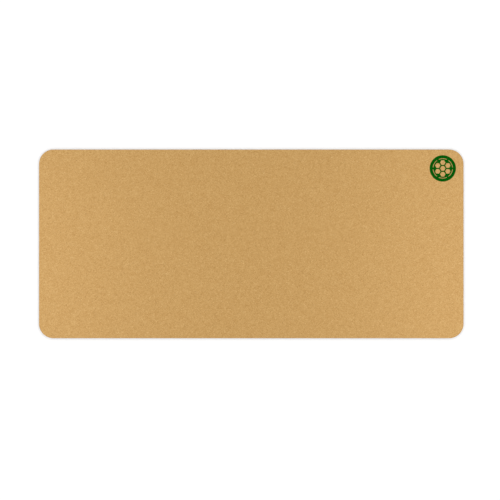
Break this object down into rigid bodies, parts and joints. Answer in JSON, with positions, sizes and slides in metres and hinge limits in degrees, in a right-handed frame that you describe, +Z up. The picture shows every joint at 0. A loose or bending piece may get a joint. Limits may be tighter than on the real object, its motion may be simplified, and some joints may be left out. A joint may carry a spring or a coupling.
{
  "type": "desk mat",
  "caption": "Thin rounded rectangular desk mat: a cork writing surface bonded to a black rubber base, with a round printed emblem in one corner.",
  "frame": {"origin": "middle of the underside, on the surface that the mat lies on", "axes": "+X along the long side, to the right of a person who sits at the mat; +Y to the back edge, away from that person; +Z up, out of the cork face"},
  "size_m": [0.9, 0.4, 0.003],
  "materials": {
    "cork": "matte",
    "rubber": "matte",
    "adhesive": "satin",
    "green_ink": "matte"
  },
  "bodies": {
    "root": {"rubber_base": "rubber", "adhesive_film": "adhesive", "cork_sheet": "cork", "printed_emblem": "green_ink"}
  },
  "joints": []
}
